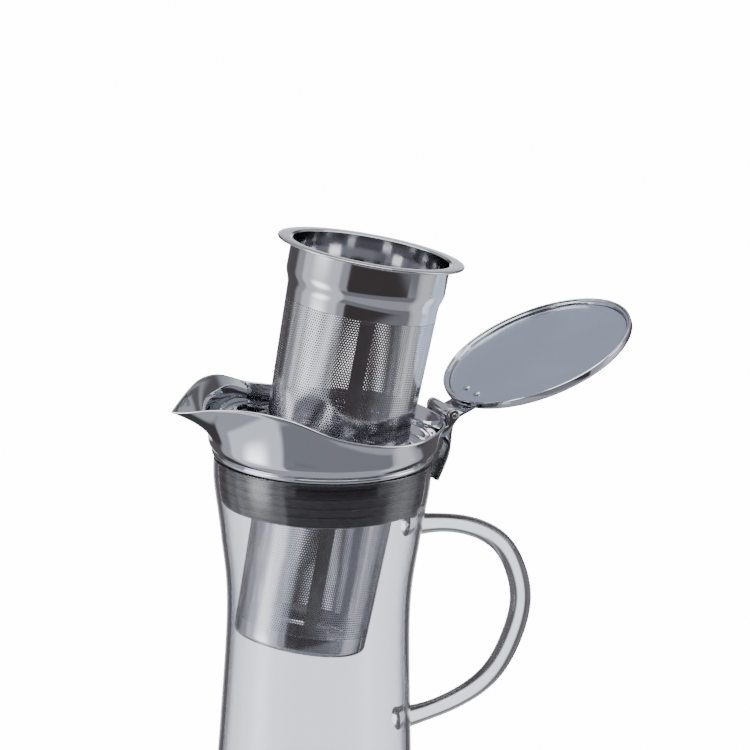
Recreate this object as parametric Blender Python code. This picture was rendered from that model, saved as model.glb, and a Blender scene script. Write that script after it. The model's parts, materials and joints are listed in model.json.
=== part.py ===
"""Glass infuser jug: a glass jug and handle, a chromed spout collar that plugs into the neck with a
ribbed silicone seal, a hinged lid with a thumb lever, and a tall etched infuser basket.

Metres, +Z up. The origin is the centre of the jug's flat base, +X points to the handle and the hinge,
and the spout points to -X. The lid stands open and the infuser is half drawn out.
"""

import math

import bmesh
import bpy
from mathutils import Matrix, Vector

# ---- driving dimensions -------------------------------------------------------------------------
GAP = 0.0003  # left between pieces that touch

# glass jug
NECK_TOP = 0.2030  # height of the glass lip
NECK_R = 0.0445  # outer radius at the lip
WAIST_IN = 0.0068  # how much narrower the waist is than the lip
WAIST_DROP = 0.0640  # the waist's depth below the lip
BELLY_OUT = 0.0057  # how much wider the jug is low down than at the waist
BELLY_Z = 0.0130  # height where the belly is widest
FOOT_IN = 0.0069  # how much narrower the flat base is than the belly
GLASS_WALL = 0.0020
BASE_WALL = 0.0040

# glass handle, a bent rod
ROD_R = 0.0045
ROOT_FLARE = 0.0012  # how much wider the rod is where it meets the jug
HANDLE_TOP_DROP = 0.0340  # the upper root's depth below the lip
HANDLE_LOW_DROP = 0.1180  # the lower root's depth below the lip
HANDLE_OUT = 0.0558  # from the waist to the rod's farthest centre

# spout collar
SHEET = 0.0012  # thickness of the collar's wall
BEAD_LAP = 0.0008  # how far the bead reaches past the glass lip that it sits on
BEAD_H = 0.0022
BULGE_PROUD = 0.0015  # how far the collar stands past the bead just above it
BULGE_H = 0.0060
MOUTH_FLARE = 0.0034  # how far the round part of the rim stands past the bead
MOUTH_H = 0.0129  # height of the rim above the bead's plane
HINGE_RIM_FLARE = 0.0013  # how much farther out the rim is at the hinge
HINGE_RIM_H = 0.0115
SPOUT_REACH = 0.0219  # how far the spout's tip stands past the bead
SPOUT_H = 0.0221  # the spout tip's height
SHOULDER_H = 0.0268  # the rim's highest point, on both sides of the spout

# throat sleeve and seal
SEAL_T = 0.0062  # the seal's thickness round the throat
SLEEVE_WALL = 0.0008
SEAT_DROP = 0.0042  # depth of the seat below the bead's plane
SEAL_H = 0.0190
SEAL_RIBS = 5
RIB_DEPTH = 0.0008

# infuser basket
RIM_LAP = 0.0035  # how far the rim reaches past the throat's wall
RIM_CLEAR = 0.0010  # the pocket's clearance round the rim
RIM_T = 0.0010
CUP_CLEAR = 0.0022  # the throat's clearance round the plain upper part
CUP_H = 0.0135
STEP_IN = 0.0016  # how much narrower the etched sleeve is at its top
BODY_TAPER = 0.0041  # and how much it narrows further to its bottom
STEP_H = 0.0045  # height of the step between the two
BAND_H = 0.0060  # plain band below the step
INFUSER_L = 0.1645
BASE_BAND = 0.0078  # height of the plain cup at the bottom
CUP_WALL = 0.0005
MESH_WALL = 0.00025
SEAM_W = 0.0055
SEAM_ANGLE = math.radians(-109.5)

# lid, drawn closed and turned open
LID_R = 0.0411
LID_WALL = 0.0010
LID_SKIRT = 0.0042
LID_RECESS = 0.0020  # depth of the underside plate inside the skirt
LID_GAP = 0.0011  # between the closed lid's edge and the collar at the hinge
HINGE_CLEAR = 0.0037  # from the rim's outer edge to the hinge axis
HINGE_UP = 0.0127  # its height above the bead's plane
LID_OPEN = math.radians(156)
PIN_R = 0.0012
KNUCKLE_R = 0.0026
STRAP_W = 0.0176
STRAP_T = 0.0012
LUG_T = 0.0018
LEVER_L = 0.0290
RIVET_R = 0.0011
RIVET_HEAD_R = 0.0018
RIVET_APART = 0.0094
RIVET_IN = 0.0145  # from the hinge axis to the rivets

# the infuser's drawn-out place
RAISED_UP = 0.0829  # the raised rim's centre above the bead's plane
WAIST_CLEAR = 0.0007  # what the tilted basket's low edge keeps to the glass waist
THROAT_CLEAR = 0.0010  # and what its side keeps to the throat

# ---- worked out from them ------------------------------------------------------------------------
WAIST_R = NECK_R - WAIST_IN  # outer radius at the waist
BELLY_R = WAIST_R + BELLY_OUT
FOOT_R = BELLY_R - FOOT_IN
HANDLE_REACH = WAIST_R + HANDLE_OUT  # the rod's farthest centre from the jug's axis
BEAD_R = NECK_R + BEAD_LAP  # outer radius of the bead
BULGE_R = BEAD_R + BULGE_PROUD
MOUTH_R = BEAD_R + MOUTH_FLARE
HINGE_RIM_R = MOUTH_R + HINGE_RIM_FLARE
SPOUT_R = BEAD_R + SPOUT_REACH
THROAT_R = NECK_R - GLASS_WALL - SEAL_T - SLEEVE_WALL - 2 * GAP  # inner radius of the throat
RIM_R = THROAT_R + RIM_LAP
POCKET_R = RIM_R + RIM_CLEAR  # inner radius of the pocket that takes the infuser's rim
CUP_R = THROAT_R - CUP_CLEAR  # outer radius of the infuser's plain upper part
BODY_R = CUP_R - STEP_IN  # outer radius of the etched sleeve at its top
BODY_LOW_R = BODY_R - BODY_TAPER  # and at its bottom
LID_ARM = LID_R + LID_GAP + SHEET + HINGE_CLEAR  # from the hinge axis to the disc's centre
HINGE_OUT = HINGE_RIM_R + HINGE_CLEAR  # the hinge axis's distance from the jug's axis
BEAD_Z = NECK_TOP + GAP + BEAD_H / 2  # the bead's plane
HINGE = Vector((HINGE_OUT, 0.0, BEAD_Z + HINGE_UP))
SEAT_Z = BEAD_Z - SEAT_DROP
RIM_Z = SEAT_Z + GAP + RIM_T  # top of the seated infuser's rim


def body_radius(drop):
    """The sleeve's outer radius at a depth below the rim's top."""
    start = CUP_H + STEP_H
    return BODY_R + (BODY_LOW_R - BODY_R) * (drop - start) / (INFUSER_L - start)


def raised_basket():
    """The raised basket's lean, and its rim's distance from the jug's axis: it leans as far as the throat
    on one side and the glass waist on the other leave it room."""
    lean = 0.0
    for _ in range(40):
        side = body_radius((RAISED_UP + SEAT_DROP) / math.cos(lean)) / math.cos(lean)
        out = THROAT_R - THROAT_CLEAR - side + (RAISED_UP + SEAT_DROP) * math.tan(lean)
        room = out + WAIST_R - GLASS_WALL - WAIST_CLEAR
        lean = math.asin(room / math.hypot(INFUSER_L, BODY_LOW_R)) - math.atan2(BODY_LOW_R, INFUSER_L)
    return lean, out


LIFT_TILT, RAISED_OUT = raised_basket()
RIDE = (RAISED_OUT, BEAD_Z + RAISED_UP - RIM_Z)  # from the seated to the raised rim, in x and z


def lift_pole():
    """The point about which a turn of LIFT_TILT carries the seated rim to the raised one."""
    chord = math.hypot(*RIDE)
    arm = chord / 2 / math.tan(LIFT_TILT / 2)
    across = (RIDE[1] / chord, -RIDE[0] / chord)
    return Vector((RIDE[0] / 2 + arm * across[0], 0.0, RIM_Z + RIDE[1] / 2 + arm * across[1]))


# ---- helpers -------------------------------------------------------------------------------------
def material(name, colour, roughness, metallic, transmission=0.0):
    made = bpy.data.materials.get(name) or bpy.data.materials.new(name)
    made.use_nodes = True
    shader = made.node_tree.nodes["Principled BSDF"]
    shader.inputs["Base Color"].default_value = (*colour, 1.0)
    shader.inputs["Roughness"].default_value = roughness
    shader.inputs["Metallic"].default_value = metallic
    shader.inputs["Transmission Weight"].default_value = transmission
    return made


def chrome():
    return material("chrome", (0.78, 0.79, 0.82), 0.05, 1.0)


def steel():
    return material("steel", (0.66, 0.66, 0.69), 0.22, 1.0)


def glass():
    return material("glass", (0.93, 0.95, 0.97), 0.02, 0.0, 1.0)


def silicone():
    return material("silicone", (0.09, 0.085, 0.09), 0.55, 0.0)


def add(name, mesh, finish):
    piece = bpy.data.objects.new(name, mesh)
    mesh.materials.append(finish)
    bpy.context.collection.objects.link(piece)
    mesh.shade_smooth()
    mesh.set_sharp_from_angle(angle=math.radians(32))
    return piece


def finish_mesh(name, bm, merge=1e-6):
    bmesh.ops.remove_doubles(bm, verts=bm.verts, dist=merge)
    bmesh.ops.recalc_face_normals(bm, faces=bm.faces)
    mesh = bpy.data.meshes.new(name)
    bm.to_mesh(mesh)
    bm.free()
    return mesh


def turned(name, profile, finish, steps=48, centre=(0.0, 0.0)):
    """A ring or a dish: the closed outline of (radius, height) points spun about a vertical axis."""
    bm = bmesh.new()
    verts = [bm.verts.new((r, 0.0, z)) for r, z in profile]
    loops = list(zip(verts, verts[1:] + verts[:1]))
    edges = [bm.edges.new(pair) for pair in loops if max(pair[0].co.x, pair[1].co.x) > 1e-7]
    bmesh.ops.spin(
        bm, geom=verts + edges, cent=(0, 0, 0), axis=(0, 0, 1), angle=2 * math.pi, steps=steps, use_merge=True
    )
    bmesh.ops.translate(bm, verts=bm.verts, vec=(*centre, 0.0))
    return add(name, finish_mesh(name, bm), finish)


def extruded(name, outline, low, high, finish):
    """The closed outline of (x, z) points given a thickness from y = low to y = high."""
    bm = bmesh.new()
    face = bm.faces.new([bm.verts.new((x, low, z)) for x, z in outline])
    moved = bmesh.ops.extrude_face_region(bm, geom=[face])["geom"]
    bmesh.ops.translate(
        bm, verts=[v for v in moved if isinstance(v, bmesh.types.BMVert)], vec=(0, high - low, 0)
    )
    return add(name, finish_mesh(name, bm), finish)


def cut(piece, cutter):
    """Takes the cutter's shape out of a piece and keeps the cutter out of the build."""
    cutter.hide_render = True
    cutter.display_type = "WIRE"
    modifier = piece.modifiers.new("cut", "BOOLEAN")
    modifier.operation = "DIFFERENCE"
    modifier.solver = "EXACT"
    modifier.object = cutter


def rod_across(name, centre, radius, half, finish, steps=16):
    """A cylinder along Y."""
    bm = bmesh.new()
    bmesh.ops.create_cone(
        bm, cap_ends=True, segments=steps, radius1=radius, radius2=radius, depth=2 * half,
        matrix=Matrix.Translation(centre) @ Matrix.Rotation(math.pi / 2, 4, "X"),
    )
    return add(name, finish_mesh(name, bm), finish)


def stud(name, x, y, low, high, radius, finish, steps=12):
    """An upright cylinder."""
    return turned(name, [(0, high), (radius, high), (radius, low), (0, low)], finish, steps, (x, y))


def smooth(stations, count):
    """Points spread evenly in parameter on a smooth curve through the stations (Catmull-Rom)."""
    ends = [2 * Vector(stations[0]) - Vector(stations[1])]
    tail = [2 * Vector(stations[-1]) - Vector(stations[-2])]
    knots = ends + [Vector(s) for s in stations] + tail
    points = []
    for i in range(count):
        at = i / (count - 1) * (len(stations) - 1)
        k = min(int(at), len(stations) - 2)
        t = at - k
        a, b, c, d = knots[k : k + 4]
        points.append(
            0.5 * (2 * b + (c - a) * t + (2 * a - 5 * b + 4 * c - d) * t**2 + (3 * b - a - 3 * c + d) * t**3)
        )
    return points


def arc(cx, cz, radius, start, end, count):
    """Points on an arc in the XZ plane, angles in degrees."""
    turns = [math.radians(start + (end - start) * i / (count - 1)) for i in range(count)]
    return [(cx + radius * math.cos(t), cz + radius * math.sin(t)) for t in turns]


def ease(t):
    t = min(max(t, 0.0), 1.0)
    return t * t * (3 - 2 * t)


def axis_empty(name, point, turn):
    """An empty on a joint's axis, turned about Y; what hangs on it is drawn unturned."""
    empty = bpy.data.objects.new(name, None)
    bpy.context.collection.objects.link(empty)
    empty.location = point
    empty.rotation_euler = (0.0, turn, 0.0)
    return empty


def hang(pieces, empty):
    """Gives pieces drawn in place an origin on the empty's axis, and turns them with it."""
    for piece in pieces:
        if not piece.data.get("moved"):
            piece.data.transform(Matrix.Translation(-empty.location))
            piece.data["moved"] = True
        piece.parent = empty


# ---- glass ---------------------------------------------------------------------------------------
def glass_outline():
    """The jug's outer radius and height, from the belly up to the lip."""
    lip = (NECK_R, NECK_TOP)
    neck = (NECK_R - 0.0004, NECK_TOP - 0.0120)
    throat = (WAIST_R + 0.45 * (NECK_R - WAIST_R), NECK_TOP - 0.54 * WAIST_DROP)
    waist = (WAIST_R, NECK_TOP - WAIST_DROP)
    flank = (WAIST_R + 0.28 * (BELLY_R - WAIST_R), NECK_TOP - WAIST_DROP - 0.0500)
    belly = (BELLY_R, BELLY_Z)
    return [(p.x, p.y) for p in smooth([belly, flank, waist, throat, neck, lip], 13)]


def glass_radius(z):
    """The jug's outer radius at a height."""
    points = glass_outline()
    for (r0, z0), (r1, z1) in zip(points, points[1:]):
        if z0 <= z <= z1:
            return r0 + (r1 - r0) * (z - z0) / (z1 - z0)
    return points[-1][0]


def glass_normal(z):
    """The direction that faces out of the jug's side at a height, in the handle's plane."""
    reach = 0.0010
    return Vector((2 * reach, 0.0, glass_radius(z - reach) - glass_radius(z + reach))).normalized()


def jug():
    outer = glass_outline()
    foot = [(0.0, 0.0), (FOOT_R, 0.0), (FOOT_R + 0.0036, 0.0011), (BELLY_R - 0.0012, 0.0052)]
    inner = [(r - GLASS_WALL, z) for r, z in outer]
    corner = (BELLY_R - GLASS_WALL - 0.0030, BASE_WALL + 0.0035)
    floor = [corner, (FOOT_R - 0.0020, BASE_WALL), (0.0, BASE_WALL)]
    return turned("glass_jug", foot + outer + inner[::-1] + floor, glass())


def handle():
    top = NECK_TOP - HANDLE_TOP_DROP
    low = NECK_TOP - HANDLE_LOW_DROP
    tall = top - low
    reach = HANDLE_REACH
    root_r = 0.80 * ROD_R + ROOT_FLARE
    clear = GAP + root_r**2 / (2 * WAIST_R)  # the jug curves away from a flat root face
    start = glass_radius(top) + clear
    end = glass_radius(low) + clear
    path = smooth(
        [
            (start, 0, top),
            (start + 0.40 * (reach - start), 0, top - 0.010 * tall),
            (start + 0.78 * (reach - start), 0, top - 0.115 * tall),
            (reach - 0.0030, 0, top - 0.300 * tall),
            (reach, 0, top - 0.475 * tall),
            (reach - 0.0055, 0, top - 0.680 * tall),
            (end + 0.72 * (reach - end), 0, top - 0.860 * tall),
            (end + 0.32 * (reach - end), 0, top - 0.970 * tall),
            (end, 0, low),
        ],
        25,
    )
    bm = bmesh.new()
    rings = []
    for i, point in enumerate(path):
        before, after = path[max(i - 1, 0)], path[min(i + 1, len(path) - 1)]
        along = (after - before).normalized()
        if i in (0, len(path) - 1):
            along = glass_normal(point.z) * (-1 if i else 1)
        side = Vector((0, 1, 0))
        out = along.cross(side)
        near = min(i, len(path) - 1 - i)
        mid = ease(near / 10)
        radius = ROD_R * (0.80 + 0.20 * mid) + ROOT_FLARE * max(0.0, 1 - near / 2) ** 2
        turns = [2 * math.pi * k / 12 for k in range(12)]
        rings.append([bm.verts.new(point + radius * (math.cos(t) * side + math.sin(t) * out)) for t in turns])
    for one, other in zip(rings, rings[1:]):
        for k in range(12):
            bm.faces.new((one[k], one[(k + 1) % 12], other[(k + 1) % 12], other[k]))
    bm.faces.new(rings[0])
    bm.faces.new(rings[-1])
    return add("glass_handle", finish_mesh("glass_handle", bm), glass())


# ---- collar --------------------------------------------------------------------------------------
def rim_at(turn):
    """The collar rim's radius and height above the bead's plane at an angle from the spout, in radians."""
    degrees = math.degrees(turn)
    knots = [0, 14, 30, 50, 75, 105, 140, 180]
    spout = [SPOUT_R, SPOUT_R - 0.0100, MOUTH_R + 0.0029]
    radii = spout + [MOUTH_R, MOUTH_R - 0.0004, MOUTH_R, MOUTH_R + 0.0006, HINGE_RIM_R]
    heights = [SPOUT_H, 0.0253, SHOULDER_H, 0.0248, 0.0176, MOUTH_H + 0.0002, MOUTH_H, HINGE_RIM_H]
    k = max(i for i in range(len(knots) - 1) if knots[i] <= degrees + 1e-9)
    t = (degrees - knots[k]) / (knots[k + 1] - knots[k])
    values = []
    for row in (radii, heights):
        slopes = []
        for i in (k, k + 1):
            if i in (0, len(row) - 1):
                slopes.append(0.0 if row is heights or i else (row[1] - row[0]) / knots[1])
            else:
                slopes.append((row[i + 1] - row[i - 1]) / (knots[i + 1] - knots[i - 1]))
        span = knots[k + 1] - knots[k]
        a, b = row[k], row[k + 1]
        p, q = slopes[0] * span, slopes[1] * span
        values.append(a + p * t + (3 * (b - a) - 2 * p - q) * t**2 + (2 * (a - b) + p + q) * t**3)
    return values


def collar_radius(turn, height):
    """The collar's outer radius at an angle from the spout and a height above the bead's plane."""
    rim_r, rim_h = rim_at(turn)
    bulge = BEAD_R - 0.0006 + (BULGE_R - BEAD_R + 0.0006) * math.sin(ease(height / BULGE_H) * math.pi / 2)
    flare = (max(height, 0.0) / rim_h) ** 2.6
    return bulge + (rim_r - BULGE_R) * flare


def collar():
    """The spout shell: a sheet that rises from the bead, bulges and flares out to the rim."""
    steps, rows = 64, 7
    bm = bmesh.new()
    rings = []
    half = BEAD_H / 2
    low_inner = BEAD_R - 0.0006 - SHEET

    def ring(radius_of, height_of):
        made = []
        for i in range(steps):
            angle = 2 * math.pi * i / steps
            turn = math.pi - abs(angle - math.pi) if angle > math.pi else angle
            r, h = radius_of(turn), height_of(turn)
            made.append(bm.verts.new((-r * math.cos(angle), r * math.sin(angle), BEAD_Z + h)))
        return made

    rings.append(ring(lambda t: low_inner, lambda t: -half))
    rings.append(ring(lambda t: BEAD_R - 0.0005, lambda t: -half))
    rings.append(ring(lambda t: BEAD_R, lambda t: -half + 0.0006))
    rings.append(ring(lambda t: BEAD_R, lambda t: half - 0.0006))
    rings.append(ring(lambda t: BEAD_R - 0.0006, lambda t: half))
    for j in range(1, rows):
        share = j / (rows - 1)
        rings.append(
            ring(
                lambda t, s=share: collar_radius(t, half + s * (rim_at(t)[1] - half)),
                lambda t, s=share: half + s * (rim_at(t)[1] - half),
            )
        )
    rings.append(ring(lambda t: rim_at(t)[0] + 0.0001, lambda t: rim_at(t)[1] + 0.0007))
    rings.append(ring(lambda t: rim_at(t)[0] - SHEET, lambda t: rim_at(t)[1] + 0.0006))
    for j in range(rows - 2, 0, -1):
        share = j / (rows - 1)
        rings.append(
            ring(
                lambda t, s=share: collar_radius(t, half + s * (rim_at(t)[1] - half)) - SHEET,
                lambda t, s=share: half + s * (rim_at(t)[1] - half),
            )
        )
    for one, other in zip(rings, rings[1:] + rings[:1]):
        for i in range(steps):
            bm.faces.new((one[i], one[(i + 1) % steps], other[(i + 1) % steps], other[i]))
    return add("spout_collar", finish_mesh("spout_collar", bm), chrome())


def sleeve():
    """The throat: a funnel inside the collar, a pocket and seat for the infuser, and a tube in the seal."""
    wall = SLEEVE_WALL
    lip_r = BEAD_R - 0.0006 - SHEET - GAP
    top = BEAD_Z + BEAD_H / 2
    foot = BEAD_Z - BEAD_H / 2 - SEAL_H - 2 * GAP
    outer = [
        (lip_r, top),
        (lip_r, top - wall),
        (POCKET_R + wall, top - 2.2 * wall),
        (POCKET_R + wall, SEAT_Z - wall),
        (THROAT_R + wall, SEAT_Z - wall),
        (THROAT_R + wall, foot),
        (THROAT_R + 3 * wall, foot),
        (THROAT_R + 3 * wall, foot - wall),
        (THROAT_R, foot - wall),
    ]
    inner = [(THROAT_R, SEAT_Z), (POCKET_R, SEAT_Z), (POCKET_R, top - 1.0 * wall), (lip_r - 2 * wall, top)]
    return turned("throat_sleeve", outer + inner, chrome())


def seal():
    """The silicone plug ring, ribbed outside, that grips the glass neck."""
    top = BEAD_Z - BEAD_H / 2 - GAP
    low = top - SEAL_H
    pocket = POCKET_R + SLEEVE_WALL + GAP
    bore = THROAT_R + SLEEVE_WALL + GAP
    step_z = SEAT_Z - SLEEVE_WALL - GAP
    outline = []
    pitch = SEAL_H / SEAL_RIBS
    for k in range(SEAL_RIBS):
        up = top - k * pitch
        for share, proud in ((0.02, 0.0), (0.66, 0.0), (0.74, RIB_DEPTH), (0.94, RIB_DEPTH)):
            z = up - share * pitch
            outline.append((glass_radius(z) - GLASS_WALL - GAP - proud, z))
    outline += [(glass_radius(low) - GLASS_WALL - GAP - 0.0010, low), (bore, low), (bore, step_z)]
    outline += [(pocket, step_z), (pocket, top)]
    return turned("neck_seal", outline, silicone())


def bracket():
    """Two lugs joined by a bar, welded to the back of the collar, that hold the hinge pin."""
    inside = STRAP_W / 2 + GAP
    outside = inside + LUG_T
    foot_z = BEAD_Z + 0.0042
    weld_x = collar_radius(math.pi, foot_z + 0.0030 - BEAD_Z) + GAP
    eye = arc(HINGE.x, HINGE.z, KNUCKLE_R - 0.0002, 180, -45, 11)
    outline = [(weld_x, foot_z), (weld_x, foot_z + 0.0030), (eye[0][0], HINGE.z - 0.0040)] + eye
    outline += [(weld_x + 0.0024, foot_z)]
    piece = extruded("hinge_bracket", outline, -outside, outside, chrome())
    slot_top = HINGE.z + 2 * KNUCKLE_R
    slot = [
        (weld_x - 0.0020, foot_z + 0.0022),
        (HINGE.x + 0.0100, foot_z + 0.0022),
        (HINGE.x + 0.0100, slot_top),
        (weld_x - 0.0020, slot_top),
    ]
    cut(piece, extruded("bracket_slot", slot, -inside, inside, chrome()))
    cut(piece, rod_across("bracket_bore", HINGE, PIN_R + GAP, 2 * outside, chrome()))
    return piece


# ---- lid -----------------------------------------------------------------------------------------
def lid_pieces():
    """The lid drawn closed: cap, underside plate, hinge arm with its thumb lever, and two rivets."""
    centre = (HINGE.x - LID_ARM, 0.0)
    skirt_low = HINGE.z - LID_SKIRT / 2 - 0.0008
    top = skirt_low + LID_SKIRT
    under = skirt_low + LID_RECESS
    rim = LID_R
    cap = turned(
        "lid_cap",
        [
            (0, top),
            (rim - 0.0012, top),
            (rim - 0.0003, top - 0.0004),
            (rim, top - 0.0012),
            (rim, skirt_low + 0.0005),
            (rim - 0.0005, skirt_low),
            (rim - 0.0014, skirt_low),
            (rim - 0.0018, skirt_low + 0.0005),
            (rim - LID_WALL - 0.0006, top - LID_WALL),
            (0, top - LID_WALL),
        ],
        chrome(),
        centre=centre,
    )
    plate_r = rim - 0.0018 - 2 * GAP
    plate = turned(
        "lid_underplate",
        [(0, top - LID_WALL - GAP), (plate_r - 0.0004, top - LID_WALL - GAP), (plate_r, under), (0, under)],
        steel(),
        centre=centre,
    )
    arm = lid_arm(top + GAP)
    pieces = [cap, plate, arm]
    for side, name in ((1, "lid_rivet_left"), (-1, "lid_rivet_right")):
        x, y = HINGE.x - RIVET_IN, side * RIVET_APART / 2
        low = under - GAP
        hole = stud(name + "_hole", x, y, low - 0.002, top + 0.004, RIVET_R + GAP, steel())
        for piece in pieces[:3]:
            cut(piece, hole)
        head = [
            (0, top + GAP + STRAP_T + 0.0002),
            (RIVET_R, top + GAP + STRAP_T + 0.0002),
            (RIVET_R, low),
            (RIVET_HEAD_R, low),
            (RIVET_HEAD_R - 0.0003, low - 0.0004),
            (0, low - 0.0006),
        ]
        pieces += [turned(name, head, steel(), 12, (x, y)), hole]
    return pieces


def lid_arm(rest_z):
    """One bent strip: a strap over the cap, a curl round the pin, and the thumb lever."""
    t = STRAP_T
    inner = HINGE.x - RIVET_IN - 0.0055
    neck = KNUCKLE_R * 0.75
    back = LID_OPEN - math.pi / 2  # the lever's lean from upright when the lid is closed
    tip_x, tip_z = math.sin(back) * 0.62 * LEVER_L, 0.80 * LEVER_L
    upper = [
        (inner, rest_z),
        (inner, rest_z + t),
        (HINGE.x - neck - 0.0010, rest_z + t),
        (HINGE.x + 0.0004, HINGE.z + KNUCKLE_R + 0.0016),
        (HINGE.x + 0.16 * tip_x, HINGE.z + 0.30 * tip_z),
        (HINGE.x + 0.46 * tip_x, HINGE.z + 0.66 * tip_z),
        (HINGE.x + tip_x - 0.0006, HINGE.z + tip_z),
        (HINGE.x + tip_x + 0.0006, HINGE.z + tip_z - 0.0008),
        (HINGE.x + 0.46 * tip_x + t, HINGE.z + 0.66 * tip_z - 0.0006),
        (HINGE.x + 0.16 * tip_x + 1.1 * t, HINGE.z + 0.30 * tip_z - 0.0003),
    ]
    curl = arc(HINGE.x, HINGE.z, KNUCKLE_R, 35, -180, 12)
    piece = extruded("lid_arm", upper + curl + [(HINGE.x - KNUCKLE_R - 0.0006, rest_z)],
                     -STRAP_W / 2, STRAP_W / 2, chrome())
    cut(piece, rod_across("arm_bore", HINGE, PIN_R + GAP, STRAP_W, chrome()))
    return piece


def pin():
    half = STRAP_W / 2 + GAP + LUG_T + 0.0006
    return rod_across("hinge_pin", HINGE, PIN_R, half, steel())


# ---- infuser -------------------------------------------------------------------------------------
def infuser_pieces():
    """The basket drawn seated: spun rim and cup, etched sleeve, seam strip and base cup."""
    z0, w = RIM_Z, CUP_WALL
    band_end = CUP_H + STEP_H + BAND_H
    sleeve_end = INFUSER_L - BASE_BAND
    rim = turned(
        "infuser_rim",
        [
            (CUP_R + 0.0010, z0),
            (RIM_R - 0.0004, z0),
            (RIM_R, z0 - 0.0004),
            (RIM_R - 0.0003, z0 - RIM_T),
            (CUP_R + 0.0004, z0 - RIM_T),
            (CUP_R, z0 - RIM_T - 0.0010),
            (CUP_R, z0 - CUP_H),
            (CUP_R - 0.0006, z0 - CUP_H - 0.20 * STEP_H),
            (BODY_R + 0.0006, z0 - CUP_H - 0.80 * STEP_H),
            (BODY_R, z0 - CUP_H - STEP_H),
            (body_radius(band_end), z0 - band_end),
            (body_radius(band_end) - w, z0 - band_end),
            (BODY_R - w, z0 - CUP_H - STEP_H),
            (CUP_R - w, z0 - CUP_H + 0.0004),
            (CUP_R - w, z0 - 0.0012),
        ],
        chrome(),
    )
    top_r, low_r = body_radius(band_end + GAP), body_radius(sleeve_end - GAP)
    tube = turned(
        "infuser_mesh_sleeve",
        [
            (top_r, z0 - band_end - GAP),
            (low_r, z0 - sleeve_end + GAP),
            (low_r - MESH_WALL, z0 - sleeve_end + GAP),
            (top_r - MESH_WALL, z0 - band_end - GAP),
        ],
        steel(),
    )
    cup = turned(
        "infuser_base_cup",
        [
            (0, z0 - INFUSER_L),
            (BODY_LOW_R - 0.0022, z0 - INFUSER_L),
            (BODY_LOW_R - 0.0006, z0 - INFUSER_L + 0.0007),
            (BODY_LOW_R, z0 - INFUSER_L + 0.0022),
            (low_r, z0 - sleeve_end),
            (low_r - w, z0 - sleeve_end),
            (BODY_LOW_R - w, z0 - INFUSER_L + 0.0022),
            (BODY_LOW_R - 0.0022, z0 - INFUSER_L + w),
            (0, z0 - INFUSER_L + w),
        ],
        steel(),
    )
    return [rim, tube, seam_strip(z0, band_end, sleeve_end), cup]


def seam_strip(z0, band_end, sleeve_end):
    """The plain strip that backs the sleeve's rolled seam from inside."""
    bm = bmesh.new()
    rows = []
    for drop in (band_end + 0.0010, sleeve_end - 0.0010):
        outer = body_radius(drop) - MESH_WALL - GAP
        half = SEAM_W / 2 / outer
        row = []
        for r in (outer, outer - MESH_WALL):
            turns = [SEAM_ANGLE + half * (k / 2 - 1) for k in range(5)]
            points = [(r * math.cos(a), r * math.sin(a), z0 - drop) for a in turns]
            row += points if r == outer else points[::-1]
        rows.append([bm.verts.new(p) for p in row])
    count = len(rows[0])
    for k in range(count):
        bm.faces.new((rows[0][k], rows[0][(k + 1) % count], rows[1][(k + 1) % count], rows[1][k]))
    bm.faces.new(rows[0])
    bm.faces.new(rows[1])
    return add("infuser_seam_strip", finish_mesh("infuser_seam_strip", bm), steel())


def main():
    for old in list(bpy.data.objects):
        bpy.data.objects.remove(old, do_unlink=True)
    jug()
    handle()
    collar()
    sleeve()
    seal()
    bracket()
    pin()
    hang(lid_pieces() + [bpy.data.objects["arm_bore"]], axis_empty("lid_hinge_axis", HINGE, LID_OPEN))
    hang(infuser_pieces(), axis_empty("infuser_lift_axis", lift_pole(), LIFT_TILT))


main()
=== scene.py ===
"""Looks of a glass infuser jug: glass, chrome, etched steel and silicone, built round the CAD frame.

Metres, +Z up, +X to the handle and the lid's hinge, the spout to -X. Each piece has its operator, and
one operator sets the stage. Pieces that turn on a joint are drawn in their own frame and placed by it.
"""

import json
import math

import bmesh
import bpy
from bpy.props import FloatProperty, FloatVectorProperty, IntProperty, PointerProperty
from bpy.types import Operator, Panel, PropertyGroup
from mathutils import Matrix, Vector


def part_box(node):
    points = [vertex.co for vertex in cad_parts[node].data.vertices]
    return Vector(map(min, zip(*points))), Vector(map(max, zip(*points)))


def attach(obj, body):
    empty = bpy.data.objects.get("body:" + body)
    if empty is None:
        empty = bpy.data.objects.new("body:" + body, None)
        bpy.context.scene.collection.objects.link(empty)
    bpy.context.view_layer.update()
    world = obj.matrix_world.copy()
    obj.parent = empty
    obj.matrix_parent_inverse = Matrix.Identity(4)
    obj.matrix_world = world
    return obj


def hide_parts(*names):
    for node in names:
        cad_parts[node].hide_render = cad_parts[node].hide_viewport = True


bl_info = {
    "name": "Infuser jug",
    "version": (1, 0, 0),
    "blender": (4, 5, 0),
    "location": "3D View > Sidebar > Infuser jug",
    "description": "Builds a glass infuser jug with a spouted chrome collar, lid and etched infuser",
    "category": "Add Mesh",
}

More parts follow.
